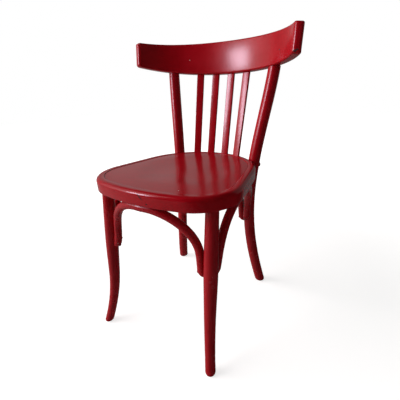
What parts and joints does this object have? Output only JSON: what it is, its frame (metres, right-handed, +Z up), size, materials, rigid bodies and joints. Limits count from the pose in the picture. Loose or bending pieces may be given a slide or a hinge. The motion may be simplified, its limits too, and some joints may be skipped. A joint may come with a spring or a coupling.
{
  "type": "bentwood bistro chair",
  "caption": "Bentwood bistro chair with a round-backed plywood seat, turned front legs, one-piece rear leg posts, a curved crest rail, flat slats and bent arches under the seat.",
  "frame": {"origin": "on the floor, under the middle of the chair's overall width and depth", "axes": "+Z up, +X to the right of someone who looks at the chair's front, +Y from the front edge of the seat to the backrest"},
  "size_m": [0.5054, 0.483, 0.788],
  "materials": {
    "red_paint": "satin paint on beech",
    "red_seat": "glossy paint on plywood",
    "red_metal": "satin paint on steel",
    "bare_steel": "dull zinc plate"
  },
  "bodies": {
    "root": {"seat_ring": "red_paint", "seat_panel": "red_seat", "front_leg_left": "red_paint", "front_leg_right": "red_paint", "back_post_left": "red_paint", "back_post_right": "red_paint", "crest_rail": "red_paint", "slat_outer_left": "red_paint", "slat_inner_left": "red_paint", "slat_inner_right": "red_paint", "slat_outer_right": "red_paint", "front_arch": "red_paint", "back_arch": "red_paint", "left_arch": "red_paint", "right_arch": "red_paint", "post_bolts": "red_metal", "bolt_washers": "bare_steel", "bolt_nuts": "bare_steel", "arch_leg_screws": "red_metal", "arch_seat_screws": "red_metal", "panel_brads": "red_metal", "foot_glides": "red_metal"}
  },
  "joints": []
}
